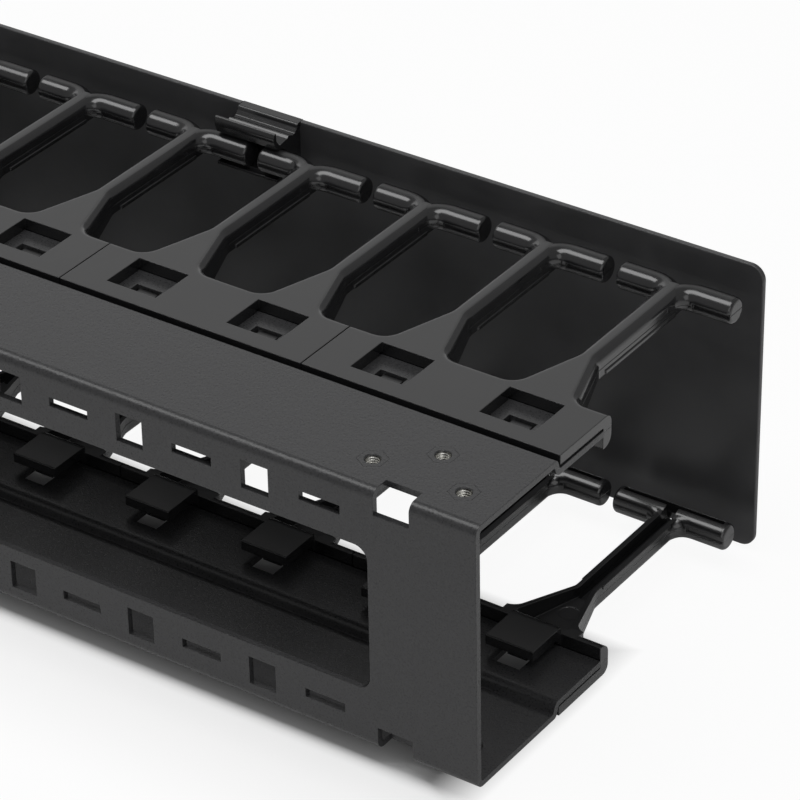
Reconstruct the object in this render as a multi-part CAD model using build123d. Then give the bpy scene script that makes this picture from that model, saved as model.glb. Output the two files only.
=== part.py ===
from build123d import *
import math
import os

# Vertical cable manager, lying on its side. Millimetres.
# X runs along the length, Y from the mounting face out to the cover, Z up.
# Drawn with Y 0 on the mounting face; written with the origin at the centre of the whole.

# Overall sizes
rack_unit = 44.45
length_units = 22
channel_units = 2
chassis_length = length_units * rack_unit
channel_width = channel_units * rack_unit

# Folded steel channel
sheet = 2.0
bend_radius = 3.0
joggle_start = 40.9
joggle_run = 1.3
joggle_depth = 3.5
joggle_round = 1.3
joggle_crease = 0.6
lip_edge = 64.9

# Openings in the web
window_count = 3
window_height = 49.0
window_corner = 4.5
window_end_margin = 36.3
window_bridge = 72.6
square_hole = 9.5
slot_length = 14.0
slot_width = 3.0
hole_row_z = 34.05
first_slot_from_end = 52.3
first_square_from_end = 74.6
holes_per_row = 20

# Cut-outs across the bends, near each end
cutout_from_end = 28.0
cutout_length = 12.0
cutout_on_flange = 6.8
cutout_on_web = 8.0

# Clinch nuts, three near each end of each flange
nut_across_flats = 8.0
nut_thickness = 3.2
nut_bore = 4.4
nut_mouth = 5.2
nut_press_gap = 0.05
nut_near_y = 13.55
nut_far_y = 25.9
nut_half_spacing = 15.25

# Finger segments
fingers_per_segment = 2
segment_gap = 0.4
plate_thickness = 3.2
plate_proud = 0.5
plate_back_edge = 42.8
lip_clearance = 0.3
rail_outer_edge = 69.4
rail_depth = 10.3
rail_tip_round = 3.4
edge_round = 2.8
flare_half_width = 10.9
flare_corner = 5.0
kink_y = 92.0
kink_round = 8.0
stem_width = 7.0
stem_depth = 7.5
stem_wall = 1.4
stem_floor = 2.6
flare_floor = 4.0
ledge_from_kink = 4.0
ledge_proud = 0.35
ledge_height = 1.2
pocket_wall = 1.7
rail_wall = 2.5
ejector_diameter = 6.5
ejector_depth = 0.2
ejector_y = 82.8

# Crossbar at the tip of each finger
bar_y = 142.5
bar_depth = 4.6
bar_radius = 4.3
bar_length = 39.8
bar_end_round = 1.3
bend_tube_radius = 3.6
bend_path_radius = 8.0
bar_channel_width = 2.6
bar_channel_floor = 2.4
bar_channel_end_wall = 2.0
bar_groove_depth = 0.8
bar_groove_width = 2.2
bar_groove_length = 12.9
bar_groove_rise = 0.6
bar_groove_end_margin = -0.1

# Recess over the lip, latch tongue under it and the hole that it snaps into
recess_length = 18.6
recess_near_y = 49.2
latch_hole = 9.5
latch_hole_y = 53.15
tongue_length = 16.6
tongue_near_y = 50.2
tongue_thickness = 3.6
tongue_above_rail = 2.3
tongue_corner = 2.5
tongue_heel_round = 4.0
nub_length = 6.8
nub_width = 3.0
nub_reach = 1.0
nub_gap = 0.5
seat_rib_width = 1.2

# Hinged cover and its clips
cover_thickness = 1.8
cover_width = 100.1
cover_corner = 4.8
cover_edge_round = 0.4
cover_standoff = 11.4
clip_length = 23.2
clip_shift = 3.0
clip_clearance = 0.3
clip_notch_depth = 1.6
clip_notch_gap = 0.15
clip_jaw_thickness = 1.5
clip_mouth = 0.3
clip_nose_reach = 2.8
clip_nose_rise = 5.0
clip_pad = 1.4
clip_ledge_thickness = 1.1
clip_ledge_tip = -2.0
clip_ledge_drop = 0.6
clip_slits = (4, 11, 18)

# Places worked out from the sizes above
half_length = chassis_length / 2
half_width = channel_width / 2
lip_outer_z = half_width - joggle_depth
outer_face_z = half_width + plate_proud
bar_z = outer_face_z - bar_depth
segment_length = fingers_per_segment * rack_unit
segment_count = round(chassis_length / segment_length)
segment_half = (segment_length - segment_gap) / 2
rail_inner_edge = lip_edge + lip_clearance
cover_inner_y = bar_y + cover_standoff
cover_half = cover_width / 2
whole_depth = cover_inner_y + cover_thickness
finger_x = [rack_unit * (i - (fingers_per_segment - 1) / 2) for i in range(fingers_per_segment)]
cut_depth = channel_width


def outline(rows):
    """Closed face from rows of (x, y, corner radius)."""
    points = [(x, y) for x, y, r in rows]
    radii = [r for x, y, r in rows]
    return make_face(FilletPolyline(*points, radius=radii, close=True).edges())


def block(x, y, z):
    """Box between two corners, each axis given as (low, high)."""
    size = [max(axis) - min(axis) for axis in (x, y, z)]
    centre = [sum(axis) / 2 for axis in (x, y, z)]
    return Pos(*centre) * Box(*size)


def upright(rows, z_low, z_high):
    """Solid with an outline in X and Y, drawn along Z."""
    return Pos(0, 0, z_low) * extrude(outline(rows), z_high - z_low, dir=(0, 0, 1))


def along_x(rows, x_low, x_high):
    """Solid with an outline in Y and Z, drawn along X."""
    return Pos(x_low, 0, 0) * (Plane.YZ * upright(rows, 0, x_high - x_low))


def steel_section():
    """Rows of the channel's folded section, the outside first and then the inside."""
    joggle_end = joggle_start + joggle_run
    slope = math.atan2(joggle_depth, joggle_run)
    shift = sheet * math.tan(slope / 2)
    outside = [
        (lip_edge, lip_outer_z, 0),
        (joggle_end, lip_outer_z, joggle_crease),
        (joggle_start, half_width, joggle_round),
        (0, half_width, bend_radius),
    ]
    inside = [
        (sheet, half_width - sheet, bend_radius - sheet),
        (joggle_start - shift, half_width - sheet, 0.2),
        (joggle_end - shift, lip_outer_z - sheet, joggle_crease + sheet),
        (lip_edge, lip_outer_z - sheet, 0),
    ]
    lower_outside = [(y, -z, r) for y, z, r in reversed(outside)]
    lower_inside = [(y, -z, r) for y, z, r in reversed(inside)]
    return outside + lower_outside + lower_inside + inside


def nut_places():
    """X and Y of the clinch nuts of one flange."""
    places = []
    for end in (-1, 1):
        middle = end * (half_length - cutout_from_end)
        places += [(middle - nut_half_spacing, nut_near_y), (middle + nut_half_spacing, nut_near_y)]
        places.append((middle, nut_far_y))
    return places


def web_cuts():
    """Everything that passes through the web."""
    free_length = chassis_length - 2 * window_end_margin - (window_count - 1) * window_bridge
    window_length = free_length / window_count
    window_step = window_length + window_bridge
    shapes = []
    for i in range(window_count):
        x = window_step * (i - (window_count - 1) / 2)
        shapes.append(Pos(x, 0) * RectangleRounded(window_length, window_height, window_corner))
    for i in range(holes_per_row):
        for z in (-hole_row_z, hole_row_z):
            slot_x = half_length - first_slot_from_end - i * rack_unit
            square_x = half_length - first_square_from_end - i * rack_unit
            shapes.append(Pos(slot_x, z) * Rectangle(slot_length, slot_width))
            shapes.append(Pos(square_x, z) * Rectangle(square_hole, square_hole))
    return [Plane.XZ * extrude(shape, 2 * sheet, both=True) for shape in shapes]


def flange_cuts():
    """Cut-outs across the bends, hexagon holes for the nuts and the latch holes in the lips."""
    cuts = []
    for end in (-1, 1):
        middle = end * (half_length - cutout_from_end)
        along = (middle - cutout_length / 2, middle + cutout_length / 2)
        for side in (-1, 1):
            high = (side * (half_width - cutout_on_web), side * (half_width + sheet))
            cuts.append(block(along, (-sheet, cutout_on_flange), high))
    hexagon = Rot(0, 0, 30) * RegularPolygon(nut_across_flats / 2 + nut_press_gap, 6, major_radius=False)
    for side in (-1, 1):
        middle_z = side * (half_width - sheet / 2)
        for x, y in nut_places():
            cuts.append(extrude(Pos(x, y, middle_z) * hexagon, sheet, both=True))
        lip_z = side * (lip_outer_z - sheet / 2)
        for i in range(length_units):
            x = rack_unit * (i - (length_units - 1) / 2)
            cuts.append(Pos(x, latch_hole_y, lip_z) * Box(latch_hole, latch_hole, 2 * sheet))
    return cuts


def make_chassis():
    channel = along_x(steel_section(), -half_length, half_length)
    return channel - (web_cuts() + flange_cuts())


def make_nuts():
    """Threaded hexagon nuts, pressed into the flanges and flush with their outer faces."""
    body = extrude(Rot(0, 0, 30) * RegularPolygon(nut_across_flats / 2, 6, major_radius=False), -nut_thickness)
    body -= Pos(0, 0, -nut_thickness / 2) * Cylinder(nut_bore / 2, 2 * nut_thickness)
    mouth_depth = (nut_mouth - nut_bore) / 2
    body -= Pos(0, 0, -mouth_depth / 2) * Cone(nut_bore / 2, nut_mouth / 2, mouth_depth)
    nuts = []
    for x, y in nut_places():
        nuts.append(Pos(x, y, half_width) * body)
        nuts.append(Pos(x, y, -half_width) * Rot(180, 0, 0) * body)
    return Compound(children=nuts)


def segment_rows():
    """Plan of a segment: base plate, flares and stems."""
    stem_half = stem_width / 2
    rows = [(-segment_half, plate_back_edge, 0), (segment_half, plate_back_edge, 0)]
    rows.append((segment_half, rail_outer_edge, 0))
    for x in reversed(finger_x):
        rows += [
            (x + flare_half_width, rail_outer_edge, flare_corner),
            (x + stem_half, kink_y, kink_round),
            (x + stem_half, bar_y - bar_radius / 2, 0),
            (x - stem_half, bar_y - bar_radius / 2, 0),
            (x - stem_half, kink_y, kink_round),
            (x - flare_half_width, rail_outer_edge, flare_corner),
        ]
    rows.append((-segment_half, rail_outer_edge, 0))
    return rows


def rail_tips():
    """Long corners that leave the rail with a rounded tip between the flares."""
    edge_y = rail_outer_edge - rail_tip_round
    edge_z = -rail_depth + rail_tip_round
    middle = Pos(0, edge_y, edge_z) * Rot(0, 90, 0) * Cylinder(rail_tip_round, 2 * segment_length)
    ends = [-segment_half - 1]
    for x in finger_x:
        ends += [x - flare_half_width - flare_corner / 2, x + flare_half_width + flare_corner / 2]
    ends.append(segment_half + 1)
    tips = []
    for low, high in zip(ends[0::2], ends[1::2]):
        corner = block((low, high), (edge_y, rail_outer_edge + 1), (-rail_depth - 1, edge_z))
        tips.append(corner - middle)
    return tips


def segment_body():
    """Base plate, rail, flares and stems, with their outer edges rounded."""
    body = upright(segment_rows(), -rail_depth, 0)
    straight_ends = (plate_back_edge, bar_y - bar_radius / 2)
    rounded = []
    for edge in body.edges().filter_by_position(Axis.Z, -0.01, 0.01):
        middle = edge.center()
        at_side = abs(abs(middle.X) - segment_half) < 0.01
        at_end = any(abs(middle.Y - y) < 0.01 for y in straight_ends)
        if not at_side and not at_end:
            rounded.append(edge)
    body = fillet(rounded, edge_round)
    body = body & along_x([
        (plate_back_edge - 1, 1, 0),
        (bar_y, 1, 0),
        (bar_y, -stem_depth, 0),
        (kink_y, -stem_depth, 0),
        (rail_outer_edge, -rail_depth, 0),
        (rail_inner_edge, -rail_depth, 0),
        (rail_inner_edge, -plate_thickness, 0),
        (plate_back_edge - 1, -plate_thickness, 0),
    ], -segment_length, segment_length)
    return body - rail_tips()


def elbow(x, side):
    """Tube that bends from the stem into one arm and swells to the arm's radius."""
    bend_y = bar_y - bend_path_radius
    half = bend_path_radius * math.sqrt(0.5)
    stations = [
        (0, bend_y - bar_radius, bend_tube_radius, bend_tube_radius, 0),
        (0, bend_y, bend_tube_radius, bend_tube_radius, 0),
        (bend_path_radius - half, bend_y + half, (bend_tube_radius + bar_depth) / 2,
         (bend_tube_radius + bar_radius) / 2, 45),
        (bend_path_radius, bar_y, bar_depth, bar_radius, 90),
        (bend_path_radius + 1, bar_y, bar_depth, bar_radius, 90),
    ]
    rings = []
    for along, y, deep, radius, turn in stations:
        heading = math.radians(turn)
        normal = (side * math.sin(heading), math.cos(heading), 0)
        ring = Plane(origin=(x + side * along, y, -deep), x_dir=(0, 0, 1), z_dir=normal)
        rings.append(ring * Circle(radius))
    return loft(rings)


def crossbar(x):
    """Round bar at the tip of a finger. Its outer half bends down into the stem."""
    bar = Pos(x, bar_y, -bar_depth) * Rot(0, 90, 0) * Cylinder(bar_radius, bar_length)
    bar = fillet(bar.edges().filter_by(GeomType.CIRCLE), bar_end_round)
    saddle = (x - bend_path_radius, x + bend_path_radius)
    bar -= block(saddle, (bar_y - bar_radius - 1, bar_y + bar_radius + 1), (-bar_depth, 1))
    return bar + elbow(x, -1) + elbow(x, 1)


def finger_hollows(x):
    """Open channel in the stem and crossbar, pocket in the flare and grooves in the arms."""
    inner_half = stem_width / 2 - stem_wall
    pocket_y = rail_inner_edge + rail_wall
    lean = (flare_half_width - stem_width / 2) / (kink_y - rail_outer_edge)
    wide_half = flare_half_width - pocket_wall - lean * (pocket_y - rail_outer_edge)
    pocket_rows = [
        (x - wide_half, pocket_y, 1.5),
        (x + wide_half, pocket_y, 1.5),
        (x + inner_half, kink_y, 0),
        (x - inner_half, kink_y, 0),
    ]
    channel_y = (bar_y - bar_channel_width / 2 + 1, bar_y + bar_channel_width / 2 + 1)
    channel_half = bar_length / 2 - bar_channel_end_wall
    deep = -cut_depth
    cuts = [
        upright(pocket_rows, deep, -flare_floor),
        block((x - inner_half, x + inner_half), (kink_y - 1, channel_y[1]), (deep, -stem_floor)),
        block((x - channel_half, x + channel_half), channel_y, (deep, -bar_channel_floor)),
        Pos(x, ejector_y, -flare_floor) * Cylinder(ejector_diameter / 2, 2 * ejector_depth),
    ]
    groove_top = -bar_depth + bar_groove_rise
    groove_z = (groove_top - bar_groove_width, groove_top)
    groove_y = (bar_y - 2 * bar_radius, bar_y - bar_radius + bar_groove_depth)
    for side in (-1, 1):
        tip = x + side * (bar_length / 2 - bar_groove_end_margin)
        cuts.append(block((tip, tip - side * bar_groove_length), groove_y, groove_z))
    return cuts


def tongue(x):
    """Springy latch tongue over the inside of the lip, with the nub that snaps into its hole."""
    top = -rail_depth - tongue_above_rail
    under = top + tongue_thickness
    root_under = -(plate_proud + joggle_depth + sheet + lip_clearance)
    root_y = rail_inner_edge + rail_wall
    low, high = x - tongue_length / 2, x + tongue_length / 2
    body = along_x([
        (tongue_near_y, under, 0.4),
        (tongue_near_y, top, 0.4),
        (root_y, top, tongue_heel_round),
        (root_y, -rail_depth / 2, 0),
        (rail_inner_edge, root_under, 0),
        (rail_inner_edge - rail_wall, under, 1),
    ], low, high)
    body = body & upright([
        (low, tongue_near_y, 0),
        (high, tongue_near_y, 0),
        (high, root_y - tongue_corner, 0),
        (high - tongue_corner, root_y, 0),
        (low + tongue_corner, root_y, 0),
        (low, root_y - tongue_corner, 0),
    ], -cut_depth, 0)
    nub_z = (root_under + lip_clearance + nub_reach, under - 0.5)
    nub_end = latch_hole_y + latch_hole / 2 - nub_gap
    nub_y = (nub_end - nub_width, nub_end)
    return body + block((x - nub_length / 2, x + nub_length / 2), nub_y, nub_z)


def make_segment():
    """One moulding with two fingers, outer face up at Z 0."""
    body = segment_body()
    for x in finger_x:
        ledge_half = stem_width / 2 + ledge_proud
        ledge_z = (-stem_depth, -stem_depth + ledge_height)
        ledge_y = (kink_y + ledge_from_kink, bar_y - bend_path_radius)
        body += block((x - ledge_half, x + ledge_half), ledge_y, ledge_z)
        body += crossbar(x)
    for x in finger_x:
        for cut in finger_hollows(x):
            body -= cut
        recess = block(
            (x - recess_length / 2, x + recess_length / 2),
            (recess_near_y, rail_inner_edge),
            (-2 * plate_thickness, plate_thickness),
        )
        seat = block(
            (x - recess_length / 2 - seat_rib_width, x + recess_length / 2 + seat_rib_width),
            (recess_near_y - seat_rib_width, lip_edge - 1),
            (-plate_proud - joggle_depth, -plate_thickness / 2),
        )
        body += seat
        body -= recess
        body += tongue(x)
    return body


def make_cover():
    """Flat cover with rounded corners, notched where the clips wrap its long edges."""
    plate = extrude(Plane.XZ * RectangleRounded(chassis_length, cover_width, cover_corner), -cover_thickness)
    plate = fillet(plate.edges().filter_by_position(Axis.Y, -0.01, cover_thickness + 0.01)
                   .filter_by(Plane.XZ), cover_edge_round)
    plate = Pos(0, cover_inner_y, 0) * plate
    notch_half = clip_length / 2 + clip_notch_gap
    for x in clip_places():
        for side in (-1, 1):
            high = (side * (cover_half - clip_notch_depth - clip_notch_gap), side * (cover_half + 1))
            deep = (cover_inner_y - 1, cover_inner_y + cover_thickness + 1)
            plate -= block((x - notch_half, x + notch_half), deep, high)
    return plate


def clip_places():
    """X of the middle of each clip, just beside a slit between two crossbars."""
    return [half_length - slit * rack_unit - clip_shift for slit in clip_slits]


def make_clip():
    """Clip with its jaws round a crossbar, drawn about the bar's axis."""
    inner = bar_radius + clip_clearance
    floor = inner + clip_jaw_thickness
    nose = floor + clip_nose_rise
    back = cover_standoff
    front = back - clip_pad
    edge = cover_half - bar_z
    ledge = -inner - clip_ledge_drop - clip_ledge_thickness
    half = clip_length / 2
    body = along_x([
        (-clip_mouth, 0, 0),
        (-clip_mouth, inner, 0),
        (-clip_nose_reach + 1.2, inner + 0.8, 0.6),
        (-clip_nose_reach, nose - 2.2, 3),
        (-clip_nose_reach + 0.7, nose, 0.5),
        (-clip_nose_reach + 1.5, nose, 0.3),
        (-clip_nose_reach + 1.6, floor + 2, 1.5),
        (0.5, floor, 0.8),
        (4.4, floor + 0.6, 0.3),
        (5.3, floor + 1.3, 0.5),
        (7.3, floor + 0.5, 0.6),
        (8.4, floor + 0.7, 0.5),
        (front - 0.4, floor + 2, 0.4),
        (front, edge - 0.3, 0.8),
        (back + cover_thickness, edge, 0),
        (back + cover_thickness, edge - clip_notch_depth, 0),
        (back, edge - clip_notch_depth, 0),
        (back, ledge - 1, 0),
        (front, ledge - 1, 0.4),
        (front - 0.8, ledge, 0.6),
        (clip_ledge_tip, ledge, 0.3),
        (clip_ledge_tip, 0, 0),
    ], -half, half)
    hole = Rot(0, 90, 0) * Cylinder(inner, 2 * clip_length)
    mouth = block((-clip_length, clip_length), (-2 * inner, 0), (-inner - clip_ledge_drop, inner))
    return body - hole - mouth


def write(shape, node):
    placed = Pos(0, -whole_depth / 2, 0) * shape
    placed.label = node
    export_step(placed, f"parts/{node}.step")


os.makedirs("parts", exist_ok=True)
write(make_chassis(), "chassis")
write(make_nuts(), "clinch_nuts")
write(make_cover(), "cover")

segment = make_segment()
for i in range(segment_count):
    x = half_length - segment_length * (i + 0.5)
    top = Pos(x, 0, outer_face_z) * segment
    bottom = Pos(x, 0, -outer_face_z) * Rot(0, 180, 0) * segment
    write(top, f"finger_segment_top_{i + 1:02d}")
    write(bottom, f"finger_segment_bottom_{i + 1:02d}")

clip = make_clip()
for i, x in enumerate(clip_places()):
    write(Pos(x, bar_y, bar_z) * clip, f"hinge_clip_top_{i + 1}")
    write(Pos(x, bar_y, -bar_z) * mirror(clip, about=Plane.XY), f"hinge_clip_bottom_{i + 1}")
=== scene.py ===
import math
import bmesh
import bpy
from mathutils import Matrix, Vector


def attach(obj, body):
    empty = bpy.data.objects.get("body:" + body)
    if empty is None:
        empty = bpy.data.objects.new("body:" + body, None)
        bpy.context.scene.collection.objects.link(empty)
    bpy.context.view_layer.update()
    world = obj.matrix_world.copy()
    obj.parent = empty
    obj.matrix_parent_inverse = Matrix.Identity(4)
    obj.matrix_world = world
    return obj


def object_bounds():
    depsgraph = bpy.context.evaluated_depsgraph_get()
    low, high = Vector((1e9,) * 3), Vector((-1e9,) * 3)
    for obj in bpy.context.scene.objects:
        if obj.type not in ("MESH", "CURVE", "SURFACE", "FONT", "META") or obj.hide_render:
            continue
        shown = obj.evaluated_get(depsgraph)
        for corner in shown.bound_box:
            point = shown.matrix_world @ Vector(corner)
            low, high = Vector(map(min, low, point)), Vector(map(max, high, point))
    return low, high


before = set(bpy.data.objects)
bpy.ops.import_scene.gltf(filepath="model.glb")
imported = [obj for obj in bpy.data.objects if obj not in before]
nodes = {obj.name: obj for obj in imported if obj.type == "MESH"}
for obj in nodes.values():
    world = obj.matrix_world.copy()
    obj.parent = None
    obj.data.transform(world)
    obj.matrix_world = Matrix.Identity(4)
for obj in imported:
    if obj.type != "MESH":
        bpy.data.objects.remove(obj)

cad_low, cad_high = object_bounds()


# Chassis: one sheet of 2 mm steel, pierced and folded into a deep channel with joggled lips.
# It is sprayed with black polyester powder and baked. That leaves a fine orange-peel skin,
# satin on the flats, which pulls thin and shows a soft light line on the cut edges and bends.
powder_grain_mm = 0.6       # real grain is 0.3 to 0.5 mm, drawn coarser so that it shows
powder_peel_mm = 1.0
powder_grain_depth = 0.00007
powder_peel_depth = 0.00006
sheet_edge_radius = 0.0003
powder_settings = {"IOR": 1.50, "Specular IOR Level": 0.42}


def linear(code):
    """Hex sRGB colour to the linear values that a shader socket takes."""
    channels = [int(code[i:i + 2], 16) / 255 for i in (0, 2, 4)]
    return [c / 12.92 if c <= 0.04045 else ((c + 0.055) / 1.055) ** 2.4 for c in channels] + [1.0]


def add(tree, kind, settings=None, links=None):
    """Adds a node, gives its sockets or properties their values, and links its inputs."""
    node = tree.nodes.new(kind)
    for key, value in (settings or {}).items():
        if isinstance(key, int) or key in node.inputs:
            node.inputs[key].default_value = value
        else:
            setattr(node, key, value)
    for key, source in (links or {}).items():
        tree.links.new(source, node.inputs[key])
    return node


def noise(tree, place, size_mm, detail, **settings):
    """Noise whose largest spots are about so many millimetres apart."""
    node = add(tree, "ShaderNodeTexNoise", {"Scale": 1000 / size_mm, "Detail": detail, **settings},
               {"Vector": place})
    return node.outputs["Fac"]


def spread(tree, source, low, high, start=0.0, end=1.0):
    """Maps a value that runs from start to end onto the range from low to high."""
    node = add(tree, "ShaderNodeMapRange", {"From Min": start, "From Max": end, "To Min": low,
                                            "To Max": high}, {"Value": source})
    return node.outputs["Result"]


def two_tone(tree, source, dark, light, start=0.0, end=1.0):
    """A colour that runs from dark to light as the source runs from start to end."""
    node = add(tree, "ShaderNodeValToRGB", {}, {"Fac": source})
    first, last = node.color_ramp.elements
    first.position, first.color = start, linear(dark)
    last.position, last.color = end, linear(light)
    return node.outputs["Color"]


def bump(tree, source, strength, depth, under):
    """Raises a skin by a pattern, over the normal that lies under it."""
    node = add(tree, "ShaderNodeBump", {"Strength": strength, "Distance": depth},
               {"Height": source, "Normal": under})
    return node.outputs["Normal"]


def soft_edges(tree, radius):
    """The normal of a surface whose sharp edges are rounded off a little."""
    return add(tree, "ShaderNodeBevel", {"samples": 4, "Radius": radius}).outputs["Normal"]


def new_finish(name, settings):
    """A material with its shader set, and the object's own coordinates for its patterns."""
    finish = bpy.data.materials.new(name)
    finish.use_nodes = True
    tree = finish.node_tree
    shader = tree.nodes["Principled BSDF"]
    for key, value in settings.items():
        shader.inputs[key].default_value = value
    place = add(tree, "ShaderNodeTexCoord").outputs["Object"]
    return finish, tree, shader, place


def dress(tree, shader, colour, roughness, normal):
    """Links the three patterned sockets of a shader."""
    tree.links.new(colour, shader.inputs["Base Color"])
    tree.links.new(roughness, shader.inputs["Roughness"])
    tree.links.new(normal, shader.inputs["Normal"])


def wear(finish, *names):
    """Gives CAD nodes their finish."""
    for name in names:
        slots = nodes[name].data.materials
        slots.clear()
        slots.append(finish)


def powder_coat(tree, shader, place):
    """The grain, the slow orange-peel wave and the softened edges of a baked powder skin."""
    grain = noise(tree, place, powder_grain_mm, 2.0, Roughness=0.55)
    peel = noise(tree, place, powder_peel_mm, 1.0)
    wave = bump(tree, peel, 0.8, powder_peel_depth, soft_edges(tree, sheet_edge_radius))
    dress(tree, shader, two_tone(tree, grain, "2a2a2b", "343435", 0.35, 0.65),
          spread(tree, grain, 0.22, 0.36), bump(tree, grain, 0.8, powder_grain_depth, wave))


coat, tree, shader, place = new_finish("Black powder coat on steel", powder_settings)
powder_coat(tree, shader, place)
wear(coat, "chassis")


# Clinch nuts: zinc plated steel hexagons, pressed flush into the flanges before painting.
# Their faces carry the same black powder, and the tapped M5 bore was masked and stays bright.
nut_places = [(side * x, y) for side in (-1, 1)
              for x, y in ((0.4762, -0.0643), (0.4457, -0.0643), (0.46095, -0.05195))]
bore_wall_limit = 0.3       # faces less upright than this belong to the bore
plating_scuff_mm = 0.4
thread_scuff_mm = 1 / 3
thread_pitch = 0.0008
thread_root = 0.00222       # just inside the wall of the 4.4 mm bore
thread_crest = 0.00206
thread_root_half_width = 0.00036
thread_crest_half_width = 0.00005
thread_start = 0.0414       # heights above and below the middle of the channel
thread_end = 0.04395
thread_fade_steps = 8       # the cut runs in and out over this many steps
steps_a_turn = 28


def work_out(tree, operation, first, second=None):
    """A Math node. Each term is a number or another node's output."""
    node = add(tree, "ShaderNodeMath", {"operation": operation})
    for slot, term in enumerate(term for term in (first, second) if term is not None):
        if isinstance(term, (int, float)):
            node.inputs[slot].default_value = term
        else:
            tree.links.new(term, node.inputs[slot])
    return node.outputs[0]


def uprightness(tree):
    """1 on faces that look straight up or down, 0 on walls."""
    facing = add(tree, "ShaderNodeSeparateXYZ", {},
                 {0: add(tree, "ShaderNodeTexCoord").outputs["Normal"]})
    return work_out(tree, "ABSOLUTE", facing.outputs["Z"])


def surface(tree, share, first, second):
    """Shows the first shader, and the second one by the given share."""
    both = add(tree, "ShaderNodeMixShader", {}, {0: share, 1: first.outputs[0],
                                                 2: second.outputs[0]})
    tree.links.new(both.outputs[0], tree.nodes["Material Output"].inputs["Surface"])


plated, tree, shader, place = new_finish("Zinc plated nut under powder coat", powder_settings)
powder_coat(tree, shader, place)
metal = add(tree, "ShaderNodeBsdfPrincipled", {"Base Color": linear("84837f"), "Metallic": 1.0})
dull = spread(tree, noise(tree, place, plating_scuff_mm, 3.0), 0.18, 0.42)
tree.links.new(dull, metal.inputs["Roughness"])
surface(tree, work_out(tree, "LESS_THAN", uprightness(tree), bore_wall_limit), shader, metal)
wear(plated, "clinch_nuts")

bright, tree, shader, place = new_finish("Bright cut thread", {"Base Color": linear("d8d7d2"),
                                                               "Metallic": 1.0})
dull = spread(tree, noise(tree, place, thread_scuff_mm, 2.0), 0.15, 0.38)
tree.links.new(dull, shader.inputs["Roughness"])

mesh = bmesh.new()
steps = (thread_end - thread_start) / thread_pitch * steps_a_turn
for x, y in nut_places:
    for flip in (1, -1):
        last = None
        for step in range(int(steps) + 1):
            angle = 2 * math.pi * step / steps_a_turn
            height = thread_start + thread_pitch * step / steps_a_turn
            fade = min(1.0, step / thread_fade_steps, (steps - step) / thread_fade_steps)
            crest = thread_root - (thread_root - thread_crest) * max(fade, 0.02)
            row = []
            for radius, lift in ((thread_root, -thread_root_half_width),
                                 (crest, -thread_crest_half_width),
                                 (crest, thread_crest_half_width),
                                 (thread_root, thread_root_half_width)):
                row.append(mesh.verts.new((x + radius * math.cos(angle),
                                           y + flip * radius * math.sin(angle),
                                           flip * (height + lift))))
            if last:
                for k in range(4):
                    mesh.faces.new((last[k], last[(k + 1) % 4], row[(k + 1) % 4], row[k]))
            else:
                mesh.faces.new(row)
            last = row
        mesh.faces.new(list(reversed(last)))
bmesh.ops.recalc_face_normals(mesh, faces=mesh.faces)
thread_mesh = bpy.data.meshes.new("nut_threads")
mesh.to_mesh(thread_mesh)
mesh.free()
thread_mesh.materials.append(bright)
threads = bpy.data.objects.new("nut_threads", thread_mesh)
bpy.context.collection.objects.link(threads)
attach(threads, "channel")


# Finger segments: black ABS, injection moulded in a two-part mould and snapped over the lips.
# The flat plates keep the mould's fine spark-eroded grain, the arms come out of polished
# pockets and are glossier, and a hairline shows where the mould halves met on the crossbars.
mould_grain_mm = 0.6
mould_flow_mm = 14
mould_edge_radius = 0.0005
parting_height = 0.0403     # height of the crossbars' axis above and below the middle
parting_half_width = 0.00016

moulded, tree, shader, place = new_finish("Moulded black ABS", {"IOR": 1.54,
                                                                "Specular IOR Level": 0.7})
spark = noise(tree, place, mould_grain_mm, 2.0)
flow = noise(tree, place, mould_flow_mm, 2.0, Distortion=0.6)
flat = spread(tree, uprightness(tree), 0.0, 1.0, 0.93, 0.99)
gloss = spread(tree, flat, 0.10, 0.34)
drift = work_out(tree, "ADD", work_out(tree, "MULTIPLY", flow, 0.10), gloss)
where = add(tree, "ShaderNodeSeparateXYZ", {}, {0: place})
level = work_out(tree, "ABSOLUTE", where.outputs["Z"])
off_line = work_out(tree, "ABSOLUTE", work_out(tree, "SUBTRACT", level, parting_height))
seam = spread(tree, off_line, 0.0, 1.0, 0.0, parting_half_width)
parting = bump(tree, seam, 0.8, 0.0001, soft_edges(tree, mould_edge_radius))
skin = bump(tree, work_out(tree, "MULTIPLY", flat, spark), 0.5, 0.00002, parting)
dress(tree, shader, two_tone(tree, flow, "161617", "1a1a1b", 0.3, 0.7), drift, skin)
wear(moulded, *[name for name in nodes if name.startswith("finger_segment")])


# Cover: one flat door of extruded black PVC sheet, sawn to length with its corners rounded.
# The rollers leave a smooth satin face with a very slow ripple and a faint cloudy mottle.
cover_cloud_mm = 22
cover_grain_mm = 0.8
cover_edge_radius = 0.0004

rolled, tree, shader, place = new_finish("Rolled black PVC sheet", {"IOR": 1.53})
cloud = noise(tree, place, cover_cloud_mm, 4.0, Roughness=0.6)
fine = noise(tree, place, cover_grain_mm, 2.0)
ripple = bump(tree, cloud, 0.3, 0.0002, soft_edges(tree, cover_edge_radius))
dress(tree, shader, two_tone(tree, cloud, "303031", "373738", 0.3, 0.7),
      spread(tree, cloud, 0.30, 0.42, 0.3, 0.7), bump(tree, fine, 0.35, 0.00002, ripple))
wear(rolled, "cover")


# Hinge clips: short lengths of black acetal, moulded with jaws that snap round a crossbar.
# Acetal is harder and slicker than the fingers, with fine drag marks along the jaws.
clip_drag_mm = 0.5
clip_edge_radius = 0.0003

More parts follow.
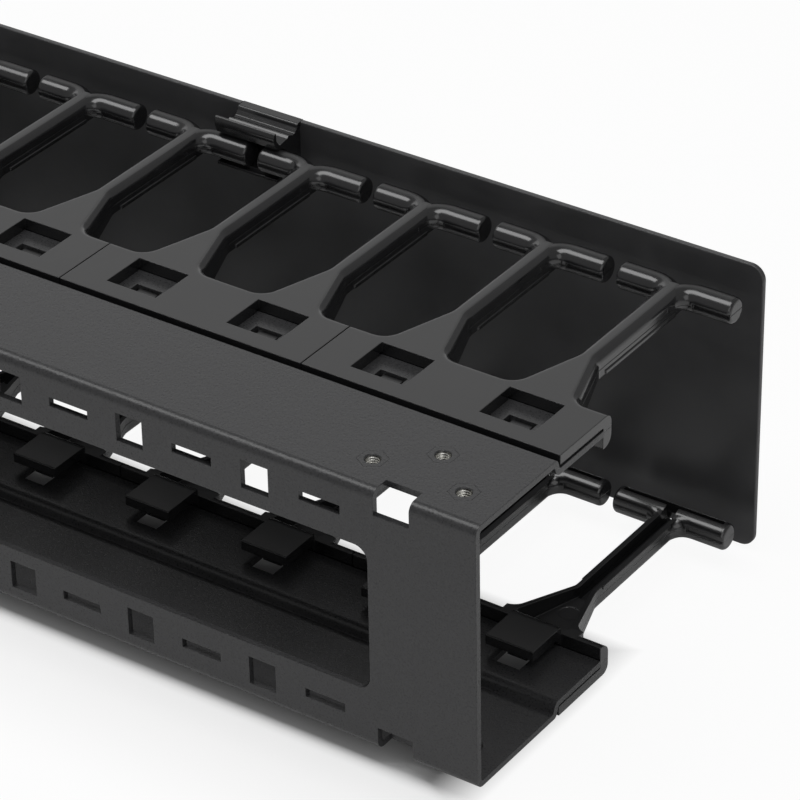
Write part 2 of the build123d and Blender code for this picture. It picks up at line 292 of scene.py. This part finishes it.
slick, tree, shader, place = new_finish("Moulded black acetal", {"IOR": 1.48,
                                                                 "Specular IOR Level": 0.8})
stretch = add(tree, "ShaderNodeMapping", {"Scale": (0.08, 1.0, 1.0)}, {"Vector": place})
drag = noise(tree, stretch.outputs["Vector"], clip_drag_mm, 2.0)
dress(tree, shader, two_tone(tree, drag, "171718", "1d1d1e"), spread(tree, drag, 0.12, 0.28),
      bump(tree, drag, 0.4, 0.00002, soft_edges(tree, clip_edge_radius)))
wear(slick, *[name for name in nodes if name.startswith("hinge_clip")])


# Floor: a plain pale table top, under the lowest points of the part. It keeps the soft shadow,
# and is lifted towards white where the camera sees it. Right under the channel it isn't
# lifted, and a strip along the channel's front is lifted less. That is painted shade: the dark
# there is the rendered shadow, but how strongly it shows is set by place, as a contact shadow.
floor_half_size = 20.0
floor_gap = 0.0002
floor_white_share = 0.93
front_strip = (-0.135, -0.080)
front_painted_shade_lift = 0.65
channel_front = (-0.080, -0.074)
channel_back = (0.002, 0.014)
channel_end = (0.470, 0.488)

floor_mesh = bpy.data.meshes.new("Floor")
corners = [(-1, -1), (1, -1), (1, 1), (-1, 1)]
floor_mesh.from_pydata([(x * floor_half_size, y * floor_half_size, cad_low.z - floor_gap)
                        for x, y in corners], [], [(0, 1, 2, 3)])
floor = bpy.data.objects.new("Floor", floor_mesh)
bpy.context.collection.objects.link(floor)
pale, tree, shader, place = new_finish("Pale matt table top", {
    "Base Color": linear("ececec"), "Roughness": 0.9, "Specular IOR Level": 0.2})
glow = add(tree, "ShaderNodeEmission", {"Color": linear("ffffff"), "Strength": 1.0})
ray = add(tree, "ShaderNodeLightPath")
seen = work_out(tree, "MAXIMUM", ray.outputs["Is Camera Ray"], ray.outputs["Is Transmission Ray"])
spot = add(tree, "ShaderNodeSeparateXYZ", {}, {0: place})
# Painted shade: the white lift falls off towards the channel's front and stops under the channel.
front_painted_shade = add(tree, "ShaderNodeMapRange", {
    "From Min": front_strip[0], "From Max": front_strip[1], "To Min": 1.0,
    "To Max": front_painted_shade_lift, "interpolation_type": "SMOOTHSTEP"}, {"Value": spot.outputs["Y"]})
behind = spread(tree, spot.outputs["Y"], 0.0, 1.0, *channel_back)
before = spread(tree, spot.outputs["Y"], 1.0, 0.0, *channel_front)
beside = spread(tree, work_out(tree, "ABSOLUTE", spot.outputs["X"]), 0.0, 1.0, *channel_end)
lift = work_out(tree, "MULTIPLY", before, front_painted_shade.outputs["Result"])
lift = work_out(tree, "MAXIMUM", work_out(tree, "MAXIMUM", lift, beside), behind)
share = work_out(tree, "MULTIPLY", work_out(tree, "MULTIPLY", seen, floor_white_share), lift)
surface(tree, share, shader, glow)
floor_mesh.materials.append(pale)


# Light: an even pale room, and one long softbox above that draws the streaks on the arms.
# The camera sees the room as white as the floor, and the part is lit by a dimmer one.
room_light = 0.30
room_seen = 0.96

world = bpy.data.worlds.new("Pale room")
bpy.context.scene.world = world
world.use_nodes = True
room = world.node_tree.nodes["Background"]
room.inputs["Color"].default_value = linear("ffffff")
looked_at = add(world.node_tree, "ShaderNodeLightPath").outputs["Is Camera Ray"]
world.node_tree.links.new(spread(world.node_tree, looked_at, room_light, room_seen),
                          room.inputs["Strength"])


def softbox(name, place, aim, size, watts):
    """A rectangular lamp at a place, turned towards a point, long side along X."""
    light = bpy.data.lights.new(name, "AREA")
    light.shape = "RECTANGLE"
    light.size, light.size_y = size
    light.energy = watts
    lamp = bpy.data.objects.new(name, light)
    bpy.context.collection.objects.link(lamp)
    behind = (Vector(place) - Vector(aim)).normalized()
    across = Vector((1, 0, 0)) - behind * behind.x
    across.normalize()
    lamp.matrix_world = Matrix.Translation(place) @ Matrix(
        (across, behind.cross(across), behind)).transposed().to_4x4()


softbox("Overhead softbox", (0.10, -0.20, 1.15), (0.0, 0, 0), (1.7, 0.62), 11.5)
softbox("Back panel", (-1.75, 1.7, 0.85), (-0.6, 0, 0), (3.6, 1.6), 10)
softbox("Side fill", (1.7, -1.0, 0.8), (0.4, 0, 0), (1.2, 1.2), 3.5)


# Camera: at the photographed place and angle, fitted to the pitch of the fingers.
# It looks along the back of the channel from its near end, a little from above.
camera_place = (0.98466, -0.81600, 0.64812)
right = Vector((0.82335, 0.56730, -0.01619))
up = Vector((-0.29192, 0.44779, 0.84514))
back = Vector((0.48670, -0.69113, 0.53429))

lens = bpy.data.cameras.new("Camera")
lens.sensor_width = 36
lens.lens = 179.2
lens.clip_start = 0.05
lens.clip_end = 50
eye = bpy.data.objects.new("Camera", lens)
bpy.context.collection.objects.link(eye)
eye.matrix_world = Matrix.Translation(camera_place) @ Matrix(
    (right, up, back)).transposed().to_4x4()
bpy.context.scene.camera = eye
bpy.context.scene.view_settings.view_transform = "Standard"
